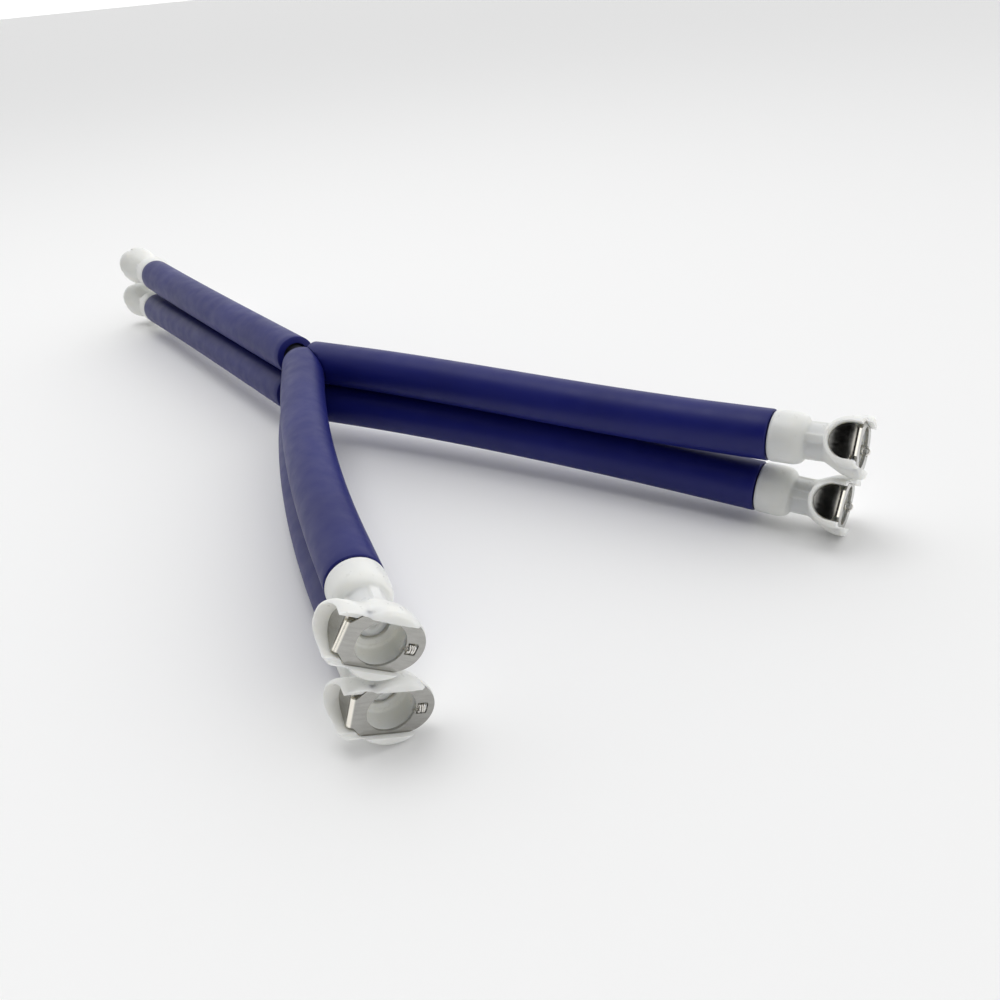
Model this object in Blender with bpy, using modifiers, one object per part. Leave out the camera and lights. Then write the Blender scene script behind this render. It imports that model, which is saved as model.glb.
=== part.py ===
"""Twin wye hose set with thumb latch quick couplings.

Two identical three-leg hose sets lie one on the other. Each leg is a soft blue hose that
starts on a barbed wye connector and ends in a valved coupling body. The stem leg runs along
+Y and the two branches run towards -Y. Lengths are millimetres in the constants and metres
in the scene.
"""
import math

import bmesh
import bpy
from mathutils import Matrix, Vector

MM = 0.001

# Hose
HOSE_R = 9.5
HOSE_BORE_R = 6.35
HOSE_SIDES = 16
END_GAP = 0.15

# Where the two wyes stand
LOWER_HUB = (-10.0, 1.02, 16.76)
UPPER_HUB = (-6.82, -2.26, 36.02)

# Legs: heading at the hub, turn along the hose, start distance from the hub, hose length,
# rise of the axis and its slope where the tail starts, roll of the coupling about its own axis
LEGS = {
    "stem_upper": dict(
        hub=UPPER_HUB, heading=90.0, turn=0.0, start=7.6, length=193.6,
        rise=1.0, tip=0.02, roll=-30,
    ),
    "left_upper": dict(
        hub=UPPER_HUB, heading=-117.3, turn=10.6, start=7.8, length=182.0,
        rise=-0.7, tip=0.0, roll=31,
    ),
    "right_upper": dict(
        hub=UPPER_HUB, heading=-65.3, turn=-2.6, start=6.9, length=212.8,
        rise=-1.6, tip=0.03, roll=35,
    ),
    "stem_lower": dict(
        hub=LOWER_HUB, heading=89.8, turn=0.0, start=7.6, length=196.8,
        rise=-1.0, tip=-0.02, roll=-34,
    ),
    "left_lower": dict(
        hub=LOWER_HUB, heading=-117.7, turn=13.0, start=7.8, length=184.5,
        rise=-5.1, tip=0.0, roll=18,
    ),
    "right_lower": dict(
        hub=LOWER_HUB, heading=-63.5, turn=-5.1, start=6.9, length=214.1,
        rise=-3.6, tip=-0.03, roll=32,
    ),
}
LEAD = 22.0
TAIL = 20.0
BEND_PARTS = 5

# Coupling body, along its axis from the hose end
COLLAR_R = 9.5
COLLAR_END = 12.3
NECK_R = 6.3
NECK_END = 18.6
DISC_R = 11.3
DISC_X = -0.5
DISC_BACK = 30.0
HEAD_FRONT = 34.0
FAR_END = 13.3
FAR_R = 8.9
FAR_BACK = 29.2
THUMB_R = 9.2
THUMB_Z = 29.85
THUMB_END = 17.1
THUMB_ROUND = 8.0
THUMB_FRONT = 32.8
FACE_Z = 31.8
FLOOR_Z = 30.65
MOUTH_R = 7.23
MOUTH_BACK = 23.6
VALVE_R = 5.2
VALVE_FRONT = 21.9
SOCKET_R = 7.6
SOCKET_Z = 5.3
LIP_INNER_Y = 8.0
LIP_GAP = 0.3
BODY_STEPS = 20

# Thumb latch, a bent steel plate
SHEET = 0.85
PLATE_HALF_W = 8.6
TAB_HALF_W = 4.86
SHOULDER_IN = 7.2
SHOULDER_OUT = 10.7
BEND_X = 12.24
PLATE_FAR = 12.9
SLOT_HALF = 1.9
SLOT_END = 10.9
TOOTH_HALF = 0.7
TOOTH_LEN = 0.35
LATCH_TRAVEL = 1.4
PAD_HALF_W = 6.2
PAD_REAR_Z = 22.2
PAD_DISH = 0.5
POCKET_HALF_W = 6.6
POCKET_FLOOR_X = BEND_X - PAD_DISH - SHEET - LATCH_TRAVEL - 0.6
POCKET_REAR_Z = 21.6
PLATE_GAP = 0.35

# Latch spring, in the plate's slot
SPRING_POST_X = (10.15, 10.65)
SPRING_GROOVE_Z = 29.4
LATCH_COIL_R = 1.3
LATCH_WIRE_R = 0.16

# Valve
POPPET_R = 4.75
POPPET_BACK = 16.1
POPPET_FRONT = 22.2
SEAL_R = 4.15
SEAL_WIRE_R = 0.7
SEAL_INNER_R = 3.2
SEAL_Z = 20.1
VALVE_COIL_R = 4.45
VALVE_WIRE_R = 0.3

# Barbs
BARB_ROOT_R = 5.2
BARB_PEAK_R = 6.0
BARB_BORE_R = 4.0
BARB_PITCH = 5.0
BARB_STEPS = 12
FLANGE_R = 7.3
FLANGE_FRONT = 5.0
TAIL_LEN = 16.0
WYE_ARM = 24.0
WYE_BARB_FROM = 9.0
WYE_HUB_R = 6.2

COLOURS = {
    "hose": ((0.024, 0.030, 0.155), 0.5, 0.0),
    "acetal": ((0.74, 0.75, 0.71), 0.35, 0.0),
    "latch_steel": ((0.52, 0.51, 0.49), 0.28, 1.0),
    "spring_steel": ((0.62, 0.61, 0.58), 0.2, 1.0),
    "seal": ((0.02, 0.02, 0.02), 0.6, 0.0),
    "wye_nylon": ((0.02, 0.02, 0.03), 0.45, 0.0),
}


# ---------------------------------------------------------------- scene helpers

def clear_scene():
    for obj in list(bpy.data.objects):
        bpy.data.objects.remove(obj, do_unlink=True)


def new_collection(name):
    collection = bpy.data.collections.new(name)
    bpy.context.scene.collection.children.link(collection)
    return collection


def make_material(name):
    colour, roughness, metallic = COLOURS[name]
    material = bpy.data.materials.new(name)
    material.use_nodes = True
    shader = material.node_tree.nodes["Principled BSDF"]
    shader.inputs["Base Color"].default_value = (*colour, 1.0)
    shader.inputs["Roughness"].default_value = roughness
    shader.inputs["Metallic"].default_value = metallic
    return material


def link_scratch(name, data):
    obj = bpy.data.objects.new(name, data)
    SCRATCH.objects.link(obj)
    return obj


def finish_mesh(obj, name):
    """Evaluate an object's modifiers into a new welded mesh and remove the object."""
    depsgraph = bpy.context.evaluated_depsgraph_get()
    mesh = bpy.data.meshes.new_from_object(obj.evaluated_get(depsgraph))
    mesh.name = name
    mesh.transform(obj.matrix_world)
    work = bmesh.new()
    work.from_mesh(mesh)
    bmesh.ops.remove_doubles(work, verts=work.verts, dist=0.000002)
    bmesh.ops.recalc_face_normals(work, faces=work.faces)
    work.to_mesh(mesh)
    work.free()
    bpy.data.objects.remove(obj, do_unlink=True)
    return mesh


def combine(name, base, operation, tools):
    """Boolean a base mesh with each tool mesh in turn."""
    mesh = base
    for tool in tools:
        target = link_scratch(name, mesh)
        cutter = link_scratch(name + "_tool", tool)
        modifier = target.modifiers.new("cut", "BOOLEAN")
        modifier.operation = operation
        modifier.solver = "EXACT"
        modifier.object = cutter
        bpy.context.view_layer.update()
        mesh = finish_mesh(target, name)
        bpy.data.objects.remove(cutter, do_unlink=True)
    return mesh


# ---------------------------------------------------------------- shape helpers

def lathe(name, profile, steps, closed=False):
    """Turn a profile of (radius, z) about Z. It runs down the outer side at +X."""
    mesh = bpy.data.meshes.new(name)
    verts = [(r * MM, 0.0, z * MM) for r, z in profile]
    edges = [(i, i + 1) for i in range(len(verts) - 1)]
    if closed:
        edges.append((len(verts) - 1, 0))
    mesh.from_pydata(verts, edges, [])
    obj = link_scratch(name, mesh)
    screw = obj.modifiers.new("turn", "SCREW")
    screw.axis = "Z"
    screw.angle = math.tau
    screw.steps = steps
    screw.render_steps = steps
    screw.use_merge_vertices = True
    screw.merge_threshold = 0.00001
    bpy.context.view_layer.update()
    return finish_mesh(obj, name)


def prism(name, outlines, low, high, plane="XY"):
    """Extrude closed outlines between two levels of the axis that the plane leaves out."""
    curve = bpy.data.curves.new(name, "CURVE")
    curve.dimensions = "2D"
    curve.fill_mode = "BOTH"
    curve.extrude = 0.5 * (high - low) * MM
    for outline in outlines:
        spline = curve.splines.new("POLY")
        spline.points.add(len(outline) - 1)
        for point, (x, y) in zip(spline.points, outline):
            point.co = (x * MM, y * MM, 0.0, 1.0)
        spline.use_cyclic_u = True
    obj = link_scratch(name, curve)
    turn = {
        "XY": Matrix.Identity(4),
        "YZ": Matrix(((0, 0, 1, 0), (1, 0, 0, 0), (0, 1, 0, 0), (0, 0, 0, 1))),
        "XZ": Matrix(((1, 0, 0, 0), (0, 0, -1, 0), (0, 1, 0, 0), (0, 0, 0, 1))),
    }[plane]
    middle = 0.5 * (low + high) * MM
    along = {"XY": (0, 0, middle), "YZ": (middle, 0, 0), "XZ": (0, middle, 0)}[plane]
    obj.matrix_world = Matrix.Translation(along) @ turn
    bpy.context.view_layer.update()
    return finish_mesh(obj, name)


def block(name, x0, x1, y0, y1, z0, z1):
    return prism(name, [[(x0, y0), (x1, y0), (x1, y1), (x0, y1)]], z0, z1)


def arc(cx, cy, radius, start, end, count):
    """Points on an arc from start to end degrees, both ends included."""
    points = []
    for i in range(count + 1):
        angle = math.radians(start + (end - start) * i / count)
        points.append((cx + radius * math.cos(angle), cy + radius * math.sin(angle)))
    return points


def rounded_box(x0, x1, y0, y1, radii, count=3):
    """Outline of a rectangle. radii are for the corners x1y0, x1y1, x0y1 and x0y0."""
    a, b, c, d = radii
    outline = arc(x1 - a, y0 + a, a, -90, 0, count)
    outline += arc(x1 - b, y1 - b, b, 0, 90, count)
    outline += arc(x0 + c, y1 - c, c, 90, 180, count)
    outline += arc(x0 + d, y0 + d, d, 180, 270, count)
    return outline


def coil(name, radius, wire, low, high, turns, per_turn):
    """A round wire coil about Z, with closed ends."""
    curve = bpy.data.curves.new(name, "CURVE")
    curve.dimensions = "3D"
    curve.bevel_depth = wire * MM
    curve.bevel_resolution = 1
    curve.use_fill_caps = True
    count = turns * per_turn + 1
    spline = curve.splines.new("POLY")
    spline.points.add(count - 1)
    for i, point in enumerate(spline.points):
        angle = math.tau * i / per_turn
        z = low + wire + (high - low - 2 * wire) * i / (count - 1)
        point.co = (radius * math.cos(angle) * MM, radius * math.sin(angle) * MM, z * MM, 1.0)
    obj = link_scratch(name, curve)
    bpy.context.view_layer.update()
    return finish_mesh(obj, name)


# ---------------------------------------------------------------- coupling pieces
# Local axes: +Z out of the mouth from the hose end, +X towards the thumb pad.

def barb_profile(top, count, down_to):
    """Saw-tooth barbs below top, each a cone that widens away from the tip."""
    points = []
    for i in range(count):
        z = top - i * BARB_PITCH
        points += [(BARB_ROOT_R, z), (BARB_PEAK_R, z - 0.6)]
    points.append((BARB_ROOT_R, down_to))
    return points


def make_hose_barb():
    """Tail piece: a flange seated in the collar and three barbs inside the hose."""
    profile = [(BARB_BORE_R, FLANGE_FRONT), (FLANGE_R, FLANGE_FRONT), (FLANGE_R, 0.6)]
    profile += barb_profile(-0.4, 3, -TAIL_LEN)
    profile.append((BARB_BORE_R, -TAIL_LEN))
    return lathe("hose_barb", profile, BARB_STEPS, closed=True)


def hull(name, points):
    """Smallest convex solid around a set of points."""
    mesh = bpy.data.meshes.new(name)
    work = bmesh.new()
    for point in points:
        work.verts.new(Vector(point) * MM)
    shell = bmesh.ops.convex_hull(work, input=work.verts)
    bmesh.ops.delete(work, geom=shell["geom_unused"] + shell["geom_interior"], context="VERTS")
    bmesh.ops.recalc_face_normals(work, faces=work.faces)
    work.to_mesh(mesh)
    work.free()
    return mesh


def make_core():
    """Collar, neck and the flared disc that the mouth opens in."""
    stub = lathe("stub", [
        (0.0, NECK_END + 3.0), (NECK_R, NECK_END + 3.0), (NECK_R, COLLAR_END + 1.2),
        (COLLAR_R - 1.6, COLLAR_END), (COLLAR_R - 0.3, COLLAR_END - 1.2), (COLLAR_R, COLLAR_END - 2.8),
        (COLLAR_R, END_GAP + 0.5), (COLLAR_R - 0.5, END_GAP), (0.0, END_GAP),
    ], BODY_STEPS)
    flare = lathe("flare", [
        (0.0, HEAD_FRONT), (DISC_R - 0.4, HEAD_FRONT), (DISC_R, HEAD_FRONT - 0.4), (DISC_R, DISC_BACK),
        (DISC_R - 1.1, DISC_BACK - 4.0), (NECK_R, NECK_END), (0.0, NECK_END),
    ], BODY_STEPS + 4)
    flare.transform(Matrix.Translation((DISC_X * MM, 0, 0)))
    return combine("core", stub, "UNION", [flare])


def make_far_wing():
    """Wing under the far end of the plate, drawn in to the neck."""
    points = [(x, y, NECK_END) for x, y in arc(0, 0, NECK_R - 0.6, 0, 330, 11)]
    for z in (FAR_BACK, THUMB_FRONT):
        points += [(x, y, z) for x, y in arc(FAR_R - FAR_END, 0, FAR_R, 90, 270, 8)]
        points += [(0.0, FAR_R, z), (0.0, -FAR_R, z)]
    return hull("far_wing", points)


def make_thumb_housing():
    """Barrel across the axis, round-cornered at its outer end, which the thumb pad sinks into."""
    corner_x = THUMB_END - THUMB_ROUND
    corner_y = THUMB_R - THUMB_ROUND
    outline = [(0.0, THUMB_R), (0.0, -THUMB_R)]
    outline += arc(corner_x, -corner_y, THUMB_ROUND, -90, 0, 4) + arc(corner_x, corner_y, THUMB_ROUND, 0, 90, 4)
    housing = prism("housing", [outline], THUMB_Z - THUMB_R - 1.0, THUMB_FRONT)
    barrel = prism("barrel", [arc(0, THUMB_Z, THUMB_R, 0, 342, 19)], -1.0, THUMB_END + 1.0, plane="YZ")
    return combine("housing", housing, "INTERSECT", [barrel])


def plate_outline(gap):
    """Outer outline of the latch plate, grown by gap; the tab end is at +X."""
    wide = PLATE_HALF_W + gap
    tab = TAB_HALF_W + gap
    far = PLATE_FAR + gap + (4.0 if gap else 0.0)
    outline = [(BEND_X + gap, -tab), (BEND_X + gap, tab), (SHOULDER_OUT + gap, tab)]
    outline += [(SHOULDER_IN + gap, wide), (wide - far, wide)]
    outline += arc(wide - far, 0, wide, 90, 270, 8)[1:-1]
    outline += [(wide - far, -wide), (SHOULDER_IN + gap, -wide), (SHOULDER_OUT + gap, -tab)]
    return outline


def make_coupling_body():
    body = combine("body", make_core(), "UNION", [make_far_wing(), make_thumb_housing()])
    bore = lathe("bore", [
        (0.0, 40.0), (MOUTH_R, 40.0), (MOUTH_R, MOUTH_BACK), (VALVE_R, VALVE_FRONT), (VALVE_R, SOCKET_Z),
        (SOCKET_R, SOCKET_Z), (SOCKET_R, -2.0), (0.0, -2.0),
    ], BODY_STEPS)
    recess = prism("recess", [plate_outline(PLATE_GAP)], FLOOR_Z, FACE_Z + LIP_GAP)
    between_lips = block("between_lips", -20, 25, -LIP_INNER_Y, LIP_INNER_Y, FACE_Z, 45)
    rear = POCKET_REAR_Z + POCKET_HALF_W
    arch = arc(0, rear, POCKET_HALF_W, 180, 360, 8) + [(POCKET_HALF_W, 45), (-POCKET_HALF_W, 45)]
    pocket = prism("pocket", [arch], POCKET_FLOOR_X, 25, plane="YZ")
    groove = block("groove", -11.3, -5.0, -SLOT_HALF, SLOT_HALF, SPRING_GROOVE_Z, 45)
    body = combine("body", body, "DIFFERENCE", [bore, recess, between_lips, pocket, groove])
    near, far = SPRING_POST_X
    post = block("post", -far, -near, -1.0, 1.0, SPRING_GROOVE_Z - 0.6, FACE_Z - 0.05)
    return combine("coupling_body", body, "UNION", [post])


def make_thumb_latch():
    """Plate across the mouth with its hole and spring slot, bent into a dished thumb pad."""
    hole = []
    edge = math.degrees(math.asin(TOOTH_HALF / MOUTH_R))
    hole += arc(0, 0, MOUTH_R, -180 + edge, 180 - edge, 20)
    mouth_x = -MOUTH_R * math.cos(math.radians(edge))
    hole += [(mouth_x - TOOTH_LEN, TOOTH_HALF), (mouth_x - TOOTH_LEN, SLOT_HALF)]
    hole += [(-SLOT_END, SLOT_HALF), (-SLOT_END, -SLOT_HALF)]
    hole += [(mouth_x - TOOTH_LEN, -SLOT_HALF), (mouth_x - TOOTH_LEN, -TOOTH_HALF)]
    plate = prism("plate", [plate_outline(0.0), hole], FACE_Z - SHEET, FACE_Z)
    outer = [(BEND_X + 0.02, FACE_Z - 0.02), (BEND_X - 0.3, 29.9), (BEND_X - PAD_DISH, 27.6)]
    outer += [(BEND_X - 0.1, 25.0), (BEND_X + 0.9, PAD_REAR_Z - 0.2)]
    inner = [(x - SHEET, z) for x, z in reversed(outer)]
    strip = prism("strip", [outer + inner], -PAD_HALF_W - 1, PAD_HALF_W + 1, plane="XZ")
    centre = PAD_REAR_Z + PAD_HALF_W
    pad = arc(0, centre, PAD_HALF_W, 180, 360, 8)
    pad += [(PAD_HALF_W, 29.6), (TAB_HALF_W - 0.1, 30.4), (TAB_HALF_W - 0.1, 36.0)]
    pad += [(0.1 - TAB_HALF_W, 36.0), (0.1 - TAB_HALF_W, 30.4), (-PAD_HALF_W, 29.6)]
    pad = prism("pad", [pad], 5, 20, plane="YZ")
    strip = combine("strip", strip, "INTERSECT", [pad])
    return combine("thumb_latch", plate, "UNION", [strip])


def make_latch_spring():
    near = MOUTH_R + TOOTH_LEN + 0.1
    mesh = coil("latch_spring", LATCH_COIL_R, LATCH_WIRE_R, near, SPRING_POST_X[0] - 0.1, 3, 6)
    lay_down = Matrix.Translation((0, 0, (FACE_Z - 0.5 * SHEET) * MM)) @ Matrix.Rotation(-math.pi / 2, 4, "Y")
    mesh.transform(lay_down)
    return mesh


def make_valve_poppet():
    land = SEAL_WIRE_R + 0.1
    profile = [
        (0.0, POPPET_FRONT), (2.6, POPPET_FRONT), (POPPET_R, POPPET_FRONT - 1.0),
        (POPPET_R, SEAL_Z + land), (SEAL_INNER_R, SEAL_Z + land), (SEAL_INNER_R, SEAL_Z - land),
        (POPPET_R, SEAL_Z - land), (POPPET_R, POPPET_BACK + 1.9), (3.6, POPPET_BACK + 1.1),
        (3.6, POPPET_BACK), (0.0, POPPET_BACK),
    ]
    return lathe("valve_poppet", profile, BARB_STEPS)


def make_valve_seal():
    section = arc(SEAL_R, SEAL_Z, SEAL_WIRE_R, 90, -210, 5)
    return lathe("valve_seal", section, BARB_STEPS, closed=True)


def make_valve_spring():
    return coil("valve_spring", VALVE_COIL_R, VALVE_WIRE_R, FLANGE_FRONT + 0.3, POPPET_BACK + 0.8, 3, 8)


# ---------------------------------------------------------------- legs

def heading_vector(angle):
    return Vector((math.cos(angle), math.sin(angle), 0.0))


def leg_point(leg, distance):
    """Point and tangent of a hose axis at a distance along it.

    The hose is straight over each barb, and turns and climbs between them.
    """
    bend = leg["length"] - LEAD - TAIL
    bent = min(max(distance - LEAD, 0.0), bend)
    after = max(distance - LEAD - bend, 0.0)
    start = math.radians(leg["heading"])
    turn = math.radians(leg["turn"])
    angle = start + turn * bent / bend
    point = Vector(leg["hub"]) + heading_vector(start) * (leg["start"] + min(distance, LEAD))
    if turn:
        radius = bend / turn
        point.x += radius * (math.sin(angle) - math.sin(start))
        point.y -= radius * (math.cos(angle) - math.cos(start))
    else:
        point += heading_vector(start) * bent
    part = bent / bend
    slope = leg["rise"] * 6.0 * part * (1.0 - part) / bend + leg["tip"] * part * (3.0 * part - 2.0)
    point += heading_vector(angle) * after
    point.z += leg["rise"] * part * part * (3.0 - 2.0 * part) + leg["tip"] * bend * part * part * (part - 1.0)
    point.z += slope * after
    tangent = (heading_vector(angle) + Vector((0.0, 0.0, slope))).normalized()
    return point, tangent


def coupling_matrix(leg):
    """Local frame of a coupling: origin at the hose end, +Z out, +X to the thumb pad."""
    origin, out = leg_point(leg, leg["length"])
    level = Vector((out.y, -out.x, 0.0)).normalized()
    up = level.cross(out)
    roll = math.radians(leg["roll"])
    thumb = level * math.cos(roll) + up * math.sin(roll)
    side = out.cross(thumb)
    matrix = Matrix.Identity(4)
    for column, axis in enumerate((thumb, side, out)):
        for row in range(3):
            matrix[row][column] = axis[row]
    return Matrix.Translation(origin * MM) @ matrix


def make_hose(name, leg, trim_heading):
    """Hollow hose along the leg, its hub end trimmed to the plane between two branches."""
    curve = bpy.data.curves.new(name, "CURVE")
    curve.dimensions = "3D"
    curve.bevel_depth = HOSE_R * MM
    curve.bevel_resolution = HOSE_SIDES // 4
    bend = leg["length"] - LEAD - TAIL
    stations = [0.0] + [LEAD + bend * i / BEND_PARTS for i in range(BEND_PARTS + 1)]
    stations.append(leg["length"] - END_GAP)
    spline = curve.splines.new("POLY")
    spline.points.add(len(stations) - 1)
    for point, distance in zip(spline.points, stations):
        point.co = (*(leg_point(leg, distance)[0] * MM), 1.0)
    obj = link_scratch(name, curve)
    bpy.context.view_layer.update()
    tube = finish_mesh(obj, name)
    obj = link_scratch(name, tube)
    wall = obj.modifiers.new("wall", "SOLIDIFY")
    wall.thickness = (HOSE_R - HOSE_BORE_R) * MM
    wall.offset = -1.0
    wall.use_even_offset = True
    bpy.context.view_layer.update()
    tube = finish_mesh(obj, name)
    if trim_heading is None:
        return tube
    middle = 0.5 * (trim_heading + leg["heading"])
    side = 1.0 if trim_heading > leg["heading"] else -1.0
    wedge = block("wedge", -20, 60, -END_GAP * 1.2, 40, -25, 25)
    if side < 0:
        wedge = block("wedge", -20, 60, -40, END_GAP * 1.2, -25, 25)
    wedge.transform(Matrix.Rotation(math.radians(middle), 4, "Z"))
    wedge.transform(Matrix.Translation(Vector(leg["hub"]) * MM))
    return combine(name, tube, "DIFFERENCE", [wedge])


def make_wye(name, legs):
    """Barbed wye: three hollow arms that meet in a round hub."""
    tip = WYE_ARM
    outer = [(0.0, tip), (BARB_ROOT_R, tip)]
    for i in range(3):
        z = tip - (i + 1) * BARB_PITCH
        outer += [(BARB_PEAK_R, z + 0.6), (BARB_ROOT_R, z)]
    outer += [(BARB_ROOT_R, 0.0), (0.0, 0.0)]
    arms = []
    bores = []
    for leg in legs:
        turn = Matrix.Rotation(math.radians(leg["heading"]), 4, "Z") @ Matrix.Rotation(math.pi / 2, 4, "Y")
        arm = lathe("arm", outer, BARB_STEPS)
        arm.transform(turn)
        arms.append(arm)
        bore = [(0.0, tip + 1), (BARB_BORE_R, tip + 1), (BARB_BORE_R, 0.0), (0.0, 0.0)]
        bore = lathe("arm_bore", bore, BARB_STEPS)
        bore.transform(turn)
        bores.append(bore)
    hub = bpy.data.meshes.new("hub")
    work = bmesh.new()
    bmesh.ops.create_uvsphere(work, u_segments=12, v_segments=8, radius=WYE_HUB_R * MM)
    work.to_mesh(hub)
    work.free()
    wye = combine(name, hub, "UNION", arms)
    wye = combine(name, wye, "DIFFERENCE", bores)
    wye.transform(Matrix.Translation(Vector(legs[0]["hub"]) * MM))
    return wye


# ---------------------------------------------------------------- assembly

def place(name, mesh, material, matrix=None):
    obj = bpy.data.objects.new(name, mesh)
    if matrix is not None:
        obj.matrix_world = matrix
    if not mesh.materials:
        mesh.materials.append(material)
    mesh.shade_smooth()
    mesh.set_sharp_from_angle(angle=math.radians(35))
    PARTS.objects.link(obj)
    return obj


def main():
    materials = {name: make_material(name) for name in COLOURS}
    coupling = [
        ("coupling_body", make_coupling_body(), "acetal"),
        ("hose_barb", make_hose_barb(), "acetal"),
        ("thumb_latch", make_thumb_latch(), "latch_steel"),
        ("latch_spring", make_latch_spring(), "spring_steel"),
        ("valve_poppet", make_valve_poppet(), "acetal"),
        ("valve_seal", make_valve_seal(), "seal"),
        ("valve_spring", make_valve_spring(), "spring_steel"),
    ]
    for level in ("upper", "lower"):
        legs = {side: LEGS[side + "_" + level] for side in ("stem", "left", "right")}
        trims = {"stem": None, "left": legs["right"]["heading"], "right": legs["left"]["heading"]}
        wye = make_wye("y_connector_" + level, list(legs.values()))
        place("y_connector_" + level, wye, materials["wye_nylon"])
        for side, leg in legs.items():
            name = side + "_" + level
            hose = make_hose("hose_" + name, leg, trims[side])
            place("hose_" + name, hose, materials["hose"])
            matrix = coupling_matrix(leg)
            for piece, mesh, slot in coupling:
                place(piece + "_" + name, mesh, materials[slot], matrix)


clear_scene()
PARTS = new_collection("twin_wye_hose_set")
SCRATCH = new_collection("scratch")
main()
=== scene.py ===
"""Looks of the twin wye hose set: soft blue hoses, moulded couplings and steel thumb latches."""
import math

import bmesh
import bpy
from mathutils import Matrix, Vector


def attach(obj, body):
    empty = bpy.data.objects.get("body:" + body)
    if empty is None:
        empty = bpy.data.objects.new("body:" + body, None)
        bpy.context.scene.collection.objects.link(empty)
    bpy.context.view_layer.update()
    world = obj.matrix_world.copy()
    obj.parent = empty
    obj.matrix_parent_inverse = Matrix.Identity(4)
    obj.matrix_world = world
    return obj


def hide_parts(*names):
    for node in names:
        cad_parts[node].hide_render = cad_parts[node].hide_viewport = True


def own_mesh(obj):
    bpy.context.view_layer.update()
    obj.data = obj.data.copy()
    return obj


MM = 0.001

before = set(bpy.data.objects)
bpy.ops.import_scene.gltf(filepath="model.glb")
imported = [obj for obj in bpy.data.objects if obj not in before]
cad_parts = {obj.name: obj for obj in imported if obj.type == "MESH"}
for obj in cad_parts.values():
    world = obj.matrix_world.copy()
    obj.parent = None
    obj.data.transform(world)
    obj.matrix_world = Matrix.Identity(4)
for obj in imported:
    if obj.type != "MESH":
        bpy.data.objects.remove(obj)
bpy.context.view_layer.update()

# ---------------------------------------------------------------- route and sizes, in millimetres
# The same as in the part, except where a line says otherwise.

LOWER_HUB = (-10.0, 1.02, 16.76)
UPPER_HUB = (-6.82, -2.26, 36.02)
LEGS = {
    "stem_upper": dict(
        hub=UPPER_HUB, heading=90.0, turn=0.0, start=7.6, length=193.6,
        rise=1.0, tip=0.02, roll=-30,
    ),
    "left_upper": dict(
        hub=UPPER_HUB, heading=-117.3, turn=10.6, start=7.8, length=182.0,
        rise=-0.7, tip=0.0, roll=31,
    ),
    "right_upper": dict(
        hub=UPPER_HUB, heading=-65.3, turn=-2.6, start=6.9, length=212.8,
        rise=-1.6, tip=0.03, roll=35,
    ),
    "stem_lower": dict(
        hub=LOWER_HUB, heading=89.8, turn=0.0, start=7.6, length=196.8,
        rise=-1.0, tip=-0.02, roll=-34,
    ),
    "left_lower": dict(
        hub=LOWER_HUB, heading=-117.7, turn=13.0, start=7.8, length=184.5,
        rise=-5.1, tip=0.0, roll=18,
    ),
    "right_lower": dict(
        hub=LOWER_HUB, heading=-63.5, turn=-5.1, start=6.9, length=214.1,
        rise=-3.6, tip=-0.03, roll=32,
    ),
}
LEAD = 22.0
TAIL = 20.0

HOSE_R = 9.5
HOSE_BORE_R = 6.35
HOSE_SIDES = 56
HOSE_STATIONS = 48
END_GAP = 0.15
END_ROUND = 0.35

COLLAR_R = 9.5
COLLAR_END = 12.3
NECK_R = 6.3
NECK_END = 18.6
RIB_R = 6.9
RIB_HALF = 1.5
DISC_R = 11.3
DISC_X = -0.5
DISC_BACK = 30.0
HEAD_FRONT = 34.0
LIP_STEP_R = 10.75
LIP_STEP_Z = 33.1
FAR_END = 13.3
FAR_R = 8.9
FAR_BACK = 29.2
THUMB_R = 9.05  # the part has 9.2, but flat-sided; a round one that size would stand outside it
THUMB_Z = 29.85
THUMB_END = 17.1
THUMB_ROUND = 8.0
THUMB_FRONT = 32.8
FACE_Z = 31.8
FLOOR_Z = 30.65
MOUTH_R = 7.23
MOUTH_BACK = 23.6
VALVE_R = 5.2
VALVE_FRONT = 21.9
SOCKET_R = 7.6
SOCKET_Z = 5.3
LIP_INNER_Y = 8.0
LIP_GAP = 0.12
PLATE_GAP = 0.18
RECESS_END = 17.0
BEYOND_FRONT = 45.0

SHEET = 0.85
PLATE_HALF_W = 8.6
TAB_HALF_W = 4.86
SHOULDER_IN = 7.2
SHOULDER_OUT = 10.7
BEND_X = 12.24
BEND_R = 1.2
PLATE_FAR = 12.9
SLOT_HALF = 1.9
SLOT_END = 10.9
TOOTH_HALF = 0.7
SLOT_ROUND = 0.75
TOOTH_LEN = 0.35
SPRING_GAP = 0.1
PAD_HALF_W = 6.25
PAD_REAR_Z = 22.2
PAD_HOLLOW = 0.3
PAD_LEAN = -0.28
PAD_CURVE = 0.045
POCKET_HALF_W = 6.5
POCKET_FLOOR_X = 8.89
POCKET_REAR_Z = 21.9
POST_X = (10.15, 10.65)
GROOVE_X = (5.0, 11.3)
GROOVE_Z = 29.4
LATCH_COIL_R = 1.3
LATCH_WIRE_R = 0.28
LATCH_SPRING_SPAN = (MOUTH_R + TOOTH_LEN + SPRING_GAP, POST_X[0] - SPRING_GAP)

POPPET_R = 4.75
POPPET_BACK = 16.1
POPPET_FRONT = 22.2
SEAL_R = 4.15
SEAL_WIRE_R = 0.7
SEAL_INNER_R = 3.2
SEAL_Z = 20.1
VALVE_COIL_R = 4.45
VALVE_WIRE_R = 0.3

BARB_ROOT_R = 5.2
BARB_PEAK_R = 6.0
BARB_BORE_R = 4.0
BARB_PITCH = 5.0
FLANGE_R = 7.3
FLANGE_FRONT = 5.0
BARB_TAIL = 16.0
WYE_ARM = 24.0
WYE_HUB_R = 6.2
TURN_STEPS = 56


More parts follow.
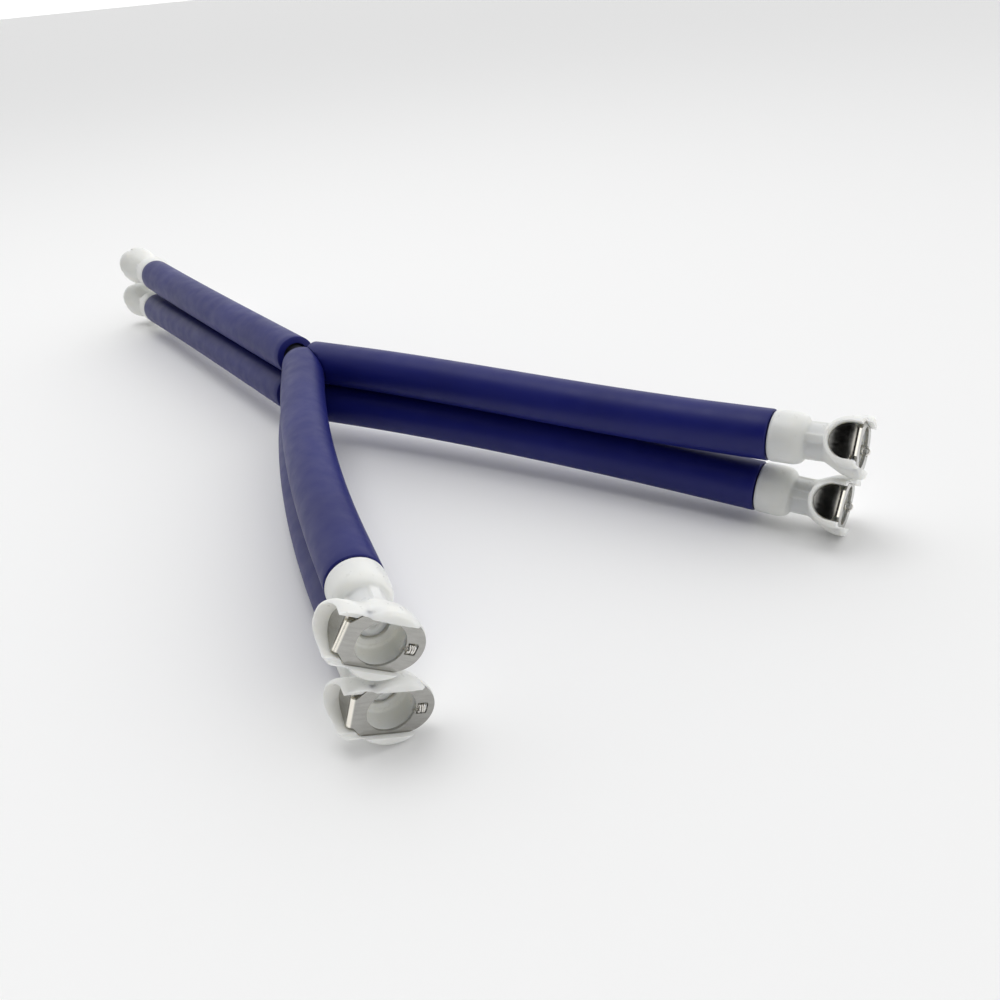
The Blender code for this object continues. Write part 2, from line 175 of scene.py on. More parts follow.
def heading_vector(angle):
    return Vector((math.cos(angle), math.sin(angle), 0.0))


def leg_point(leg, distance):
    """Point and tangent of a hose axis at a distance along it, in millimetres."""
    bend = leg["length"] - LEAD - TAIL
    bent = min(max(distance - LEAD, 0.0), bend)
    after = max(distance - LEAD - bend, 0.0)
    start = math.radians(leg["heading"])
    turn = math.radians(leg["turn"])
    angle = start + turn * bent / bend
    point = Vector(leg["hub"]) + heading_vector(start) * (leg["start"] + min(distance, LEAD))
    if turn:
        radius = bend / turn
        point.x += radius * (math.sin(angle) - math.sin(start))
        point.y -= radius * (math.cos(angle) - math.cos(start))
    else:
        point += heading_vector(start) * bent
    part = bent / bend
    slope = leg["rise"] * 6.0 * part * (1.0 - part) / bend + leg["tip"] * part * (3.0 * part - 2.0)
    point += heading_vector(angle) * after
    point.z += leg["rise"] * part * part * (3.0 - 2.0 * part) + leg["tip"] * bend * part * part * (part - 1.0)
    point.z += slope * after
    tangent = (heading_vector(angle) + Vector((0.0, 0.0, slope))).normalized()
    return point, tangent


def coupling_matrix(leg):
    """Local frame of a coupling: origin at the hose end, +Z out, +X to the thumb pad."""
    origin, out = leg_point(leg, leg["length"])
    level = Vector((out.y, -out.x, 0.0)).normalized()
    up = level.cross(out)
    roll = math.radians(leg["roll"])
    thumb = level * math.cos(roll) + up * math.sin(roll)
    side = out.cross(thumb)
    matrix = Matrix.Identity(4)
    for column, axis in enumerate((thumb, side, out)):
        for row in range(3):
            matrix[row][column] = axis[row]
    return Matrix.Translation(origin * MM) @ matrix


# ---------------------------------------------------------------- camera

CAMERA_AT = (-169.36, -387.72, 191.63)
CAMERA_HEADING = 55.24
CAMERA_PITCH = -30.57
CAMERA_ROLL = -5.27
CAMERA_LENS = 32.96


def add_camera():
    data = bpy.data.cameras.new("camera")
    data.lens = CAMERA_LENS
    data.clip_start = 0.01
    camera = bpy.data.objects.new("camera", data)
    bpy.context.scene.collection.objects.link(camera)
    turn = Matrix.Rotation(math.radians(CAMERA_HEADING - 90.0), 4, "Z")
    pitch = Matrix.Rotation(math.radians(90.0 + CAMERA_PITCH), 4, "X")
    roll = Matrix.Rotation(math.radians(CAMERA_ROLL), 4, "Z")
    camera.matrix_world = Matrix.Translation(Vector(CAMERA_AT) * MM) @ turn @ pitch @ roll
    bpy.context.scene.camera = camera


add_camera()

# ---------------------------------------------------------------- mesh helpers


def link(name, data, matrix=None):
    obj = bpy.data.objects.new(name, data)
    if matrix is not None:
        obj.matrix_world = matrix
    bpy.context.scene.collection.objects.link(obj)
    return obj


def evaluated(obj, name):
    """The object's mesh with its modifiers applied; the object is removed."""
    bpy.context.view_layer.update()
    mesh = bpy.data.meshes.new_from_object(obj.evaluated_get(bpy.context.evaluated_depsgraph_get()))
    mesh.name = name
    mesh.transform(obj.matrix_world)
    bpy.data.objects.remove(obj, do_unlink=True)
    return mesh


def modified(mesh, kind, **settings):
    """A mesh with one modifier applied."""
    obj = link(mesh.name, mesh)
    modifier = obj.modifiers.new(kind.lower(), kind)
    for key, value in settings.items():
        setattr(modifier, key, value)
    return evaluated(obj, mesh.name)


def combine(base, operation, tools):
    mesh = base
    for tool in tools:
        cutter = link("tool", tool)
        mesh = modified(mesh, "BOOLEAN", operation=operation, solver="EXACT", object=cutter)
        bpy.data.objects.remove(cutter, do_unlink=True)
    return mesh


def cleaned(work, name):
    """Weld a bmesh, point its faces out and hand it over as a mesh."""
    bmesh.ops.remove_doubles(work, verts=work.verts, dist=0.000002)
    bmesh.ops.recalc_face_normals(work, faces=work.faces)
    mesh = bpy.data.meshes.new(name)
    work.to_mesh(mesh)
    work.free()
    return mesh


def arc(cx, cy, radius, start, end, count):
    points = []
    for i in range(count + 1):
        angle = math.radians(start + (end - start) * i / count)
        points.append((cx + radius * math.cos(angle), cy + radius * math.sin(angle)))
    return points


def eased(points, radius, closed=False, count=3):
    """A polyline with its corners rounded off by arcs of up to the radius."""
    result = []
    total = len(points)
    for i, (x, y) in enumerate(points):
        if not closed and i in (0, total - 1):
            result.append((x, y))
            continue
        here = Vector((x, y))
        back = Vector(points[i - 1]) - here
        ahead = Vector(points[(i + 1) % total]) - here
        reach = min(radius, 0.45 * back.length, 0.45 * ahead.length)
        start = here + back.normalized() * reach
        end = here + ahead.normalized() * reach
        for k in range(count + 1):
            t = k / count
            point = start * (1 - t) ** 2 + here * 2 * t * (1 - t) + end * t ** 2
            result.append((point.x, point.y))
    return result


def lathe(name, profile, closed=False, steps=TURN_STEPS):
    """Turn a profile of (radius, z) in millimetres about Z."""
    work = bmesh.new()
    verts = [work.verts.new((r * MM, 0.0, z * MM)) for r, z in profile]
    edges = [work.edges.new(pair) for pair in zip(verts, verts[1:])]
    if closed:
        edges.append(work.edges.new((verts[-1], verts[0])))
    bmesh.ops.spin(work, geom=verts + edges, cent=(0, 0, 0), axis=(0, 0, 1), angle=math.tau, steps=steps)
    return cleaned(work, name)


def prism(name, outlines, low, high, plane="XY"):
    """Extrude closed outlines between two levels of the axis that the plane leaves out."""
    curve = bpy.data.curves.new(name, "CURVE")
    curve.dimensions = "2D"
    curve.fill_mode = "BOTH"
    curve.extrude = 0.5 * (high - low) * MM
    for outline in outlines:
        spline = curve.splines.new("POLY")
        spline.points.add(len(outline) - 1)
        for point, (x, y) in zip(spline.points, outline):
            point.co = (x * MM, y * MM, 0.0, 1.0)
        spline.use_cyclic_u = True
    turn = {
        "XY": Matrix.Identity(4),
        "YZ": Matrix(((0, 0, 1, 0), (1, 0, 0, 0), (0, 1, 0, 0), (0, 0, 0, 1))),
    }[plane]
    middle = 0.5 * (low + high) * MM
    along = {"XY": (0, 0, middle), "YZ": (middle, 0, 0)}[plane]
    mesh = evaluated(link(name, curve, Matrix.Translation(along) @ turn), name)
    work = bmesh.new()
    work.from_mesh(mesh)
    return cleaned(work, name)


def block(x0, x1, y0, y1, z0, z1):
    return prism("block", [[(x0, y0), (x1, y0), (x1, y1), (x0, y1)]], z0, z1)


def hull(name, points):
    work = bmesh.new()
    for point in points:
        work.verts.new(Vector(point) * MM)
    shell = bmesh.ops.convex_hull(work, input=work.verts)
    bmesh.ops.delete(work, geom=shell["geom_unused"] + shell["geom_interior"], context="VERTS")
    return cleaned(work, name)


def sweep(name, points, radius, sides):
    """A closed round bar along points in millimetres."""
    work = bmesh.new()
    rings = []
    side = None
    for i, point in enumerate(points):
        ahead = points[min(i + 1, len(points) - 1)] - points[max(i - 1, 0)]
        ahead.normalize()
        if side is None:
            side = ahead.orthogonal().normalized()
        side = (side - ahead * side.dot(ahead)).normalized()
        other = ahead.cross(side)
        ring = []
        for k in range(sides):
            angle = math.tau * k / sides
            offset = side * math.cos(angle) + other * math.sin(angle)
            ring.append(work.verts.new((point + offset * radius) * MM))
        rings.append(ring)
    for near, far in zip(rings, rings[1:]):
        for k in range(sides):
            work.faces.new((near[k], near[k - 1], far[k - 1], far[k]))
    work.faces.new(rings[0])
    work.faces.new(list(reversed(rings[-1])))
    return cleaned(work, name)


# ---------------------------------------------------------------- coupling pieces

def make_body():
    """Moulded body: soft outer form first, then its cuts, then small edge radii all over."""
    stub = lathe("stub", eased([
        (0.0, NECK_END + 3.0), (NECK_R, NECK_END + 3.0), (NECK_R, COLLAR_END + 0.6),
        (COLLAR_R - 1.2, COLLAR_END), (COLLAR_R, COLLAR_END - 2.6),
        (COLLAR_R, END_GAP), (0.0, END_GAP),
    ], 1.6))
    flare = lathe("flare", [
        (0.0, HEAD_FRONT), (LIP_STEP_R - 0.3, HEAD_FRONT), (LIP_STEP_R, HEAD_FRONT - 0.3),
        (LIP_STEP_R, LIP_STEP_Z), (DISC_R, LIP_STEP_Z - 0.2), (DISC_R, DISC_BACK),
        (DISC_R - 1.1, DISC_BACK - 4.0), (NECK_R, NECK_END), (0.0, NECK_END),
    ])
    flare.transform(Matrix.Translation((DISC_X * MM, 0, 0)))
    wing = [(x, y, NECK_END) for x, y in arc(0, 0, NECK_R - 0.6, 0, 345, 23)]
    for z in (FAR_BACK, THUMB_FRONT):
        wing += [(x, y, z) for x, y in arc(FAR_R - FAR_END, 0, FAR_R, 90, 270, 24)]
        wing += [(0.0, FAR_R, z), (0.0, -FAR_R, z)]
    corner_x = THUMB_END - THUMB_ROUND
    corner_y = THUMB_R - THUMB_ROUND
    outline = [(0.0, THUMB_R), (0.0, -THUMB_R)]
    outline += arc(corner_x, -corner_y, THUMB_ROUND, -90, 0, 16)
    outline += arc(corner_x, corner_y, THUMB_ROUND, 0, 90, 16)
    housing = prism("housing", [outline], THUMB_Z - THUMB_R - 1.0, THUMB_FRONT)
    barrel = prism("barrel", [arc(0, THUMB_Z, THUMB_R, 0, 355, 71)], -1.0, THUMB_END + 1.0, plane="YZ")
    barrel = combine(housing, "INTERSECT", [barrel])
    ribs = [block(-RIB_R, RIB_R, -RIB_HALF, RIB_HALF, COLLAR_END - 1, NECK_END + 2)]
    ribs.append(block(-RIB_HALF, RIB_HALF, -RIB_R, RIB_R, COLLAR_END - 1, NECK_END + 2))
    body = combine(stub, "UNION", [flare, hull("wing", wing), barrel] + ribs)
    body.name = "body"
    body = modified(body, "REMESH", mode="VOXEL", voxel_size=0.36 * MM)
    body = modified(body, "SMOOTH", factor=0.5, iterations=8)
    bore = lathe("bore", [
        (0.0, BEYOND_FRONT), (MOUTH_R, BEYOND_FRONT), (MOUTH_R, MOUTH_BACK), (MOUTH_R - 0.7, MOUTH_BACK - 0.5),
        (MOUTH_R - 0.8, MOUTH_BACK - 0.9), (VALVE_R + 0.5, VALVE_FRONT + 0.3), (VALVE_R, VALVE_FRONT),
        (VALVE_R, SOCKET_Z), (SOCKET_R, SOCKET_Z), (SOCKET_R, -2.0), (0.0, -2.0),
    ])
    recess = prism("recess", [plate_recess()], FLOOR_Z, FACE_Z + LIP_GAP)
    between_lips = block(-20, 25, -LIP_INNER_Y, LIP_INNER_Y, FACE_Z, BEYOND_FRONT)
    rear = POCKET_REAR_Z + POCKET_HALF_W
    arch = arc(0, rear, POCKET_HALF_W, 180, 360, 28)
    arch += [(POCKET_HALF_W, BEYOND_FRONT), (-POCKET_HALF_W, BEYOND_FRONT)]
    pocket = prism("pocket", [arch], POCKET_FLOOR_X, 25, plane="YZ")
    groove = block(-GROOVE_X[1], -GROOVE_X[0], -SLOT_HALF, SLOT_HALF, GROOVE_Z, BEYOND_FRONT)
    body = combine(body, "DIFFERENCE", [bore, recess, between_lips, pocket, groove])
    near, far = POST_X
    body = combine(body, "UNION", [block(-far, -near, -1.0, 1.0, GROOVE_Z - 0.6, FACE_Z - 0.05)])
    body = modified(body, "REMESH", mode="VOXEL", voxel_size=0.2 * MM)
    body = modified(body, "SMOOTH", factor=0.5, iterations=3)
    body = modified(body, "DECIMATE", ratio=0.4)
    body = modified(body, "SMOOTH", factor=0.4, iterations=2)
    return body


def plate_recess():
    """Outline of the plate's seat, open past the far end so that the plate can slide out there."""
    wide = PLATE_HALF_W + PLATE_GAP
    tab = TAB_HALF_W + PLATE_GAP
    outline = [(BEND_X + PLATE_GAP, -tab), (BEND_X + PLATE_GAP, tab), (SHOULDER_OUT + PLATE_GAP, tab)]
    end_x = wide - RECESS_END
    outline += [(SHOULDER_IN + PLATE_GAP, wide), (end_x, wide)]
    outline += arc(end_x, 0, wide, 90, 270, 16)[1:-1]
    return outline + [(end_x, -wide), (SHOULDER_IN + PLATE_GAP, -wide), (SHOULDER_OUT + PLATE_GAP, -tab)]


def bent_point(x, y):
    """Where a point of the flat blank lies once the thumb end is bent down and dished."""
    flat_end = BEND_X - BEND_R
    if x <= flat_end:
        return Vector((x, y, FACE_Z))
    quarter = BEND_R * math.pi / 2
    along = x - flat_end
    if along <= quarter:
        angle = along / BEND_R
        return Vector((flat_end + BEND_R * math.sin(angle), y, FACE_Z - BEND_R * (1 - math.cos(angle))))
    down = along - quarter
    curve = down * (PAD_CURVE * down + PAD_LEAN)
    hollow = PAD_HOLLOW * min(down / 2.5, 1.0) * (1 - (y / PAD_HALF_W) ** 2)
    return Vector((BEND_X + curve - hollow, y, FACE_Z - BEND_R - down))


def make_latch():
    """Stamped blank with its hole, slot and teeth, bent into the thumb pad."""
    flat_end = BEND_X - BEND_R
    pad_end = flat_end + BEND_R * math.pi / 2 + FACE_Z - BEND_R - PAD_REAR_Z
    pad_middle = pad_end - PAD_HALF_W
    flare = flat_end + BEND_R * math.pi / 2 + 0.9
    outline = [(flare, TAB_HALF_W - 0.1), (SHOULDER_OUT, TAB_HALF_W), (SHOULDER_IN, PLATE_HALF_W)]
    outline += arc(PLATE_HALF_W - PLATE_FAR, 0, PLATE_HALF_W, 90, 270, 40)
    outline += [(SHOULDER_IN, -PLATE_HALF_W), (SHOULDER_OUT, -TAB_HALF_W), (flare, 0.1 - TAB_HALF_W)]
    outline += arc(pad_middle, 0, PAD_HALF_W, -100, 100, 32)
    edge = math.degrees(math.asin(TOOTH_HALF / MOUTH_R))
    mouth_x = -MOUTH_R * math.cos(math.radians(edge))
    hole = arc(0, 0, MOUTH_R, -180 + edge, 180 - edge, 64)
    hole += [(mouth_x - TOOTH_LEN, TOOTH_HALF), (mouth_x - TOOTH_LEN - 0.1, SLOT_HALF)]
    corner_x = SLOT_ROUND - SLOT_END
    corner_y = SLOT_HALF - SLOT_ROUND
    hole += arc(corner_x, corner_y, SLOT_ROUND, 90, 180, 4) + arc(corner_x, -corner_y, SLOT_ROUND, 180, 270, 4)
    hole += [(mouth_x - TOOTH_LEN - 0.1, -SLOT_HALF), (mouth_x - TOOTH_LEN, -TOOTH_HALF)]
    curve = bpy.data.curves.new("blank", "CURVE")
    curve.dimensions = "2D"
    curve.fill_mode = "BOTH"
    for ring in (eased(outline, 0.5, closed=True), hole):
        spline = curve.splines.new("POLY")
        spline.points.add(len(ring) - 1)
        for point, (x, y) in zip(spline.points, ring):
            point.co = (x, y, 0.0, 1.0)
        spline.use_cyclic_u = True
    mesh = evaluated(link("blank", curve), "thumb_latch")
    work = bmesh.new()
    work.from_mesh(mesh)
    bmesh.ops.remove_doubles(work, verts=work.verts, dist=0.001)
    cuts = [(Vector((x, 0, 0)), Vector((1, 0, 0))) for x in cut_levels(flat_end, pad_end, 0.3)]
    cuts += [(Vector((0, y, 0)), Vector((0, 1, 0))) for y in cut_levels(-PAD_HALF_W, PAD_HALF_W, 0.9)]
    for place, normal in cuts:
        geometry = work.verts[:] + work.edges[:] + work.faces[:]
        bmesh.ops.bisect_plane(work, geom=geometry, plane_co=place, plane_no=normal, dist=0.0005)
    for vert in work.verts:
        vert.co = bent_point(vert.co.x, vert.co.y) * MM
    for face in work.faces:
        face.normal_update()
    if sum((face.normal.z for face in work.faces)) < 0:
        bmesh.ops.reverse_faces(work, faces=work.faces)
    work.to_mesh(mesh)
    work.free()
    mesh = modified(mesh, "SOLIDIFY", thickness=SHEET * MM, offset=-1.0, use_even_offset=True)
    return modified(mesh, "BEVEL", width=0.09 * MM, segments=2, limit_method="ANGLE",
                    angle_limit=math.radians(50))


def cut_levels(low, high, step):
    count = int((high - low) / step)
    return [low + (high - low) * i / (count + 1) for i in range(count + 2)]


def make_coil(name, radius, wire, low, high, turns):
    """Wire coil about Z whose last half turns lie flat, as a ground spring's do."""
    per_turn = 24
    count = int(turns * per_turn)
    points = []
    for i in range(count + 1):
        part = i / count
        rise = part - math.sin(math.tau * part) / math.tau * 0.55
        angle = math.tau * turns * part
        z = low + wire + (high - low - 2 * wire) * rise
        points.append(Vector((radius * math.cos(angle), radius * math.sin(angle), z)))
    return sweep(name, points, wire, 12)


def make_latch_spring():
    mesh = make_coil("latch_spring", LATCH_COIL_R, LATCH_WIRE_R, *LATCH_SPRING_SPAN, 3.5)
    lay_down = Matrix.Translation((0, 0, (FACE_Z - 0.5 * SHEET) * MM)) @ Matrix.Rotation(-math.pi / 2, 4, "Y")
    mesh.transform(lay_down)
    return mesh


def make_poppet():
    land = SEAL_WIRE_R + 0.1
    return lathe("valve_poppet", eased([
        (0.0, POPPET_FRONT - 0.7), (1.5, POPPET_FRONT - 0.7), (1.8, POPPET_FRONT), (2.9, POPPET_FRONT),
        (POPPET_R, POPPET_FRONT - 1.0), (POPPET_R, SEAL_Z + land), (SEAL_INNER_R, SEAL_Z + land),
        (SEAL_INNER_R, SEAL_Z - land), (POPPET_R, SEAL_Z - land), (POPPET_R, POPPET_BACK + 1.9),
        (3.6, POPPET_BACK + 1.1), (3.6, POPPET_BACK), (0.0, POPPET_BACK),
    ], 0.2))


def barb_profile(top, step, count, last):
    """Saw-tooth barbs from top onwards, each a cone that widens away from the tip."""
    points = []
    for i in range(count):
        z = top + i * step
        points += [(BARB_ROOT_R, z), (BARB_PEAK_R, z + math.copysign(0.6, step))]
    return points + [(BARB_ROOT_R, last)]


def make_hose_barb():
    profile = [(BARB_BORE_R, FLANGE_FRONT), (FLANGE_R, FLANGE_FRONT), (FLANGE_R, 0.6)]
    profile += barb_profile(-0.4, -BARB_PITCH, 3, -BARB_TAIL)
    profile.append((BARB_BORE_R, -BARB_TAIL))
    return lathe("hose_barb", eased(profile, 0.15, closed=True, count=2), closed=True)


def make_wye(name, legs):
    """Barbed wye: three hollow arms that meet in a round hub."""
    outer = [(0.0, WYE_ARM), (BARB_ROOT_R, WYE_ARM)]
    for i in range(3):
        z = WYE_ARM - (i + 1) * BARB_PITCH
        outer += [(BARB_PEAK_R, z + 0.6), (BARB_ROOT_R, z)]
    outer = eased(outer + [(BARB_ROOT_R, 0.0), (0.0, 0.0)], 0.15, count=2)
    bore = [(0.0, WYE_ARM + 1), (BARB_BORE_R, WYE_ARM + 1), (BARB_BORE_R, 0.0), (0.0, 0.0)]
    work = bmesh.new()
    bmesh.ops.create_uvsphere(work, u_segments=32, v_segments=16, radius=WYE_HUB_R * MM)
    wye = cleaned(work, name)
    arms = []
    bores = []
    for leg in legs:
        turn = Matrix.Rotation(math.radians(leg["heading"]), 4, "Z") @ Matrix.Rotation(math.pi / 2, 4, "Y")
        for profile, found in ((outer, arms), (bore, bores)):
            arm = lathe("arm", profile, steps=36)
            arm.transform(turn)
            found.append(arm)
    wye = combine(combine(wye, "UNION", arms), "DIFFERENCE", bores)
    wye.name = name
    wye.transform(Matrix.Translation(Vector(legs[0]["hub"]) * MM))
    return wye


# ---------------------------------------------------------------- hoses

def hose_path(leg):
    last = leg["length"] - END_GAP
    return [leg_point(leg, last * i / (HOSE_STATIONS - 1))[0] for i in range(HOSE_STATIONS)]


def make_hose(name, leg, other):
    """Hollow hose with softly rounded cut ends; a branch is trimmed to its neighbour's plane."""
    last = leg["length"] - END_GAP
    stations = [0.0, END_ROUND * 0.3, END_ROUND]
    stations += [END_ROUND + (last - 2 * END_ROUND) * i / HOSE_STATIONS for i in range(1, HOSE_STATIONS + 1)]
    stations += [last - END_ROUND * 0.3, last]
    shrink = {0: 1.0, 1: 0.3, len(stations) - 2: 0.3, len(stations) - 1: 1.0}
    work = bmesh.new()
    rings = []
    for i, distance in enumerate(stations):
        point, along = leg_point(leg, distance)
        level = Vector((along.y, -along.x, 0.0)).normalized()
        up = level.cross(along)
        ring = []
        for radius in (HOSE_R - END_ROUND * shrink.get(i, 0.0), HOSE_BORE_R):
            circle = []
            for k in range(HOSE_SIDES):
                angle = math.tau * k / HOSE_SIDES
                offset = level * math.cos(angle) + up * math.sin(angle)
                circle.append(work.verts.new((point + offset * radius) * MM))
            ring.append(circle)
        rings.append(ring)
    for near, far in zip(rings, rings[1:]):
        for k in range(HOSE_SIDES):
            work.faces.new((near[0][k], near[0][k - 1], far[0][k - 1], far[0][k]))
            work.faces.new((near[1][k - 1], near[1][k], far[1][k], far[1][k - 1]))
    for ring in (rings[0], rings[-1]):
        for k in range(HOSE_SIDES):
            work.faces.new((ring[0][k - 1], ring[0][k], ring[1][k], ring[1][k - 1]))
    tube = cleaned(work, name)
    if other is None:
        return tube
    middle = 0.5 * (other["heading"] + leg["heading"])
    if other["heading"] > leg["heading"]:
        wedge = block(-20, 60, -END_GAP * 1.2, 40, -25, 25)
    else:
        wedge = block(-20, 60, -40, END_GAP * 1.2, -25, 25)
    wedge.transform(Matrix.Rotation(math.radians(middle), 4, "Z"))
    wedge.transform(Matrix.Translation(Vector(leg["hub"]) * MM))
    return combine(tube, "DIFFERENCE", [wedge])


# ---------------------------------------------------------------- materials

OWN_FRAME = "own_frame"
# painted highlight: a pale cream colour laid on the outside of the latch's bend in place of the reflection it
# catches
BEND_HIGHLIGHT = (0.95, 0.91, 0.82, 1.0)


def keep_own_frame(mesh):
    """Store where each vertex lies in the piece's own frame, which the materials are laid out in."""
    places = [0.0] * (3 * len(mesh.vertices))
    mesh.vertices.foreach_get("co", places)
    mesh.attributes.new(OWN_FRAME, "FLOAT_VECTOR", "POINT").data.foreach_set("vector", places)


def new_material(name, colour, roughness, metallic=0.0):
    material = bpy.data.materials.new(name)
    material.use_nodes = True
    shader = material.node_tree.nodes["Principled BSDF"]
    shader.inputs["Base Color"].default_value = (*colour, 1.0)
    shader.inputs["Roughness"].default_value = roughness
    shader.inputs["Metallic"].default_value = metallic
    return material, shader


def add_noise(material, scale, detail=3.0, stretch=(1, 1, 1)):
    """Noise in the piece's own frame, at a scale given per metre."""
    nodes = material.node_tree.nodes
    links = material.node_tree.links
    place = nodes.new("ShaderNodeAttribute")
    place.attribute_name = OWN_FRAME
    mapping = nodes.new("ShaderNodeMapping")
    mapping.inputs["Scale"].default_value = stretch
    noise = nodes.new("ShaderNodeTexNoise")
    noise.inputs["Scale"].default_value = scale
    noise.inputs["Detail"].default_value = detail
    links.new(place.outputs["Vector"], mapping.inputs["Vector"])
    links.new(mapping.outputs["Vector"], noise.inputs["Vector"])
    return noise


def vary_colour(material, shader, noise, dark, light):
    ramp = material.node_tree.nodes.new("ShaderNodeValToRGB")
    ramp.color_ramp.elements[0].position = 0.3
    ramp.color_ramp.elements[0].color = (*dark, 1.0)
    ramp.color_ramp.elements[1].position = 0.7
    ramp.color_ramp.elements[1].color = (*light, 1.0)
    material.node_tree.links.new(noise.outputs["Fac"], ramp.inputs["Fac"])
    material.node_tree.links.new(ramp.outputs["Color"], shader.inputs["Base Color"])


def vary_roughness(material, shader, noise, low, high):
    spread = material.node_tree.nodes.new("ShaderNodeMapRange")
    spread.inputs["From Min"].default_value = 0.3
    spread.inputs["From Max"].default_value = 0.7
    spread.inputs["To Min"].default_value = low
    spread.inputs["To Max"].default_value = high
    material.node_tree.links.new(noise.outputs["Fac"], spread.inputs["Value"])
    material.node_tree.links.new(spread.outputs["Result"], shader.inputs["Roughness"])


def add_bump(material, shader, noise, distance, strength):
    bump = material.node_tree.nodes.new("ShaderNodeBump")
    bump.inputs["Distance"].default_value = distance
    bump.inputs["Strength"].default_value = strength
    material.node_tree.links.new(noise.outputs["Fac"], bump.inputs["Height"])
    material.node_tree.links.new(bump.outputs["Normal"], shader.inputs["Normal"])


def hose_material():
    material, shader = new_material("hose_blue", (0.006, 0.009, 0.13), 0.5)
    shader.inputs["Specular IOR Level"].default_value = 0.3
    cloud = add_noise(material, 22.0, 4.0)
    vary_colour(material, shader, cloud, (0.0055, 0.008, 0.115), (0.0075, 0.011, 0.145))
    vary_roughness(material, shader, add_noise(material, 160.0, 5.0), 0.40, 0.52)
    add_bump(material, shader, add_noise(material, 2600.0, 2.0), 0.00004, 0.25)
    return material


def acetal_material():
    material, shader = new_material("natural_acetal", (0.78, 0.785, 0.765), 0.34)
    shader.inputs["Subsurface Weight"].default_value = 0.8
    shader.inputs["Subsurface Radius"].default_value = (1.0, 0.95, 0.85)
    shader.inputs["Subsurface Scale"].default_value = 0.004
    flow = add_noise(material, 120.0, 3.0, (1.0, 1.0, 0.35))
    vary_colour(material, shader, flow, (0.76, 0.765, 0.74), (0.80, 0.805, 0.78))
    vary_roughness(material, shader, add_noise(material, 420.0, 4.0), 0.26, 0.42)
    add_bump(material, shader, add_noise(material, 1800.0, 2.0), 0.00002, 0.12)
    return material


def latch_material():
    """Stamped stainless steel, with a painted highlight: a pale cream colour along the outside of its bend."""
    material, shader = new_material("latch_steel", (0.42, 0.415, 0.395), 0.2, 1.0)
    nodes = material.node_tree.nodes
    links = material.node_tree.links
    grain = add_noise(material, 900.0, 5.0, (0.25, 1.4, 0.6))
    vary_colour(material, shader, grain, (0.38, 0.375, 0.355), (0.45, 0.445, 0.425))
    vary_roughness(material, shader, grain, 0.16, 0.27)
    add_bump(material, shader, grain, 0.000015, 0.1)
    place = nodes.new("ShaderNodeAttribute")
    place.attribute_name = OWN_FRAME
    axes = nodes.new("ShaderNodeSeparateXYZ")
    links.new(place.outputs["Vector"], axes.inputs["Vector"])
    # painted highlight: the outside of the bend is masked by position and given a pale cream colour standing
    # in for its reflection
    bend_highlight_mask = nodes.new("ShaderNodeMath")
    bend_highlight_mask.operation = "MULTIPLY"
    highlight_reaches = (
        ("X", BEND_X - BEND_R, BEND_X - 0.6 * BEND_R),
        ("Z", FACE_Z - 2.2 * BEND_R, FACE_Z - 1.4 * BEND_R),
    )
    for slot, (axis, start, full) in enumerate(highlight_reaches):
        spread = nodes.new("ShaderNodeMapRange")
        spread.inputs["From Min"].default_value = start * MM
        spread.inputs["From Max"].default_value = full * MM
        links.new(axes.outputs[axis], spread.inputs["Value"])
        links.new(spread.outputs["Result"], bend_highlight_mask.inputs[slot])
    painted_highlight = nodes.new("ShaderNodeMix")
    painted_highlight.data_type = "RGBA"
    painted_highlight.inputs["B"].default_value = BEND_HIGHLIGHT
    colour = shader.inputs["Base Color"].links[0].from_socket
    links.new(colour, painted_highlight.inputs["A"])
    links.new(bend_highlight_mask.outputs["Value"], painted_highlight.inputs["Factor"])
    links.new(painted_highlight.outputs["Result"], shader.inputs["Base Color"])
    return material


def spring_material(name):
    material, shader = new_material(name, (0.82, 0.80, 0.76), 0.16, 1.0)
    drawn = add_noise(material, 1500.0, 3.0)
    vary_colour(material, shader, drawn, (0.74, 0.72, 0.68), (0.88, 0.86, 0.82))
    vary_roughness(material, shader, drawn, 0.10, 0.24)
    return material


def seal_material():
    material, shader = new_material("seal_rubber", (0.018, 0.018, 0.019), 0.55)
    bloom = add_noise(material, 600.0, 4.0)
    vary_colour(material, shader, bloom, (0.014, 0.014, 0.015), (0.030, 0.030, 0.031))
    vary_roughness(material, shader, bloom, 0.45, 0.65)
    return material


def wye_material():
    material, shader = new_material("wye_nylon", (0.016, 0.017, 0.024), 0.45)
    grain = add_noise(material, 900.0, 4.0)
    vary_colour(material, shader, grain, (0.012, 0.013, 0.02), (0.024, 0.025, 0.034))
    vary_roughness(material, shader, grain, 0.38, 0.55)
    add_bump(material, shader, grain, 0.00004, 0.3)
    return material


def floor_material():
    return new_material("floor", (0.94, 0.94, 0.94), 0.9)[0]


# ---------------------------------------------------------------- stage and light

DARK_SIDE = (-0.74, -0.22, 0.64)
DARK_FROM = 0.60
DARK_FULL = 0.84
HORIZON = 1.12
WORLD_STRENGTH = 1.1
FLOOR_HALF = 15.0
FLOOR_DROP = 0.0002
LAMP_AT = (-0.1, 0.1, 1.3)
LAMP_SIZE = 0.8
LAMP_POWER = 4.0


def add_light(name, place, target, size, power):
    data = bpy.data.lights.new(name, "AREA")
    data.shape = "DISK"
    data.size = size
    data.energy = power
    light = link(name, data)
    aim = Vector(target) - Vector(place)
    light.matrix_world = Matrix.Translation(place) @ aim.to_track_quat("-Z", "Y").to_matrix().to_4x4()


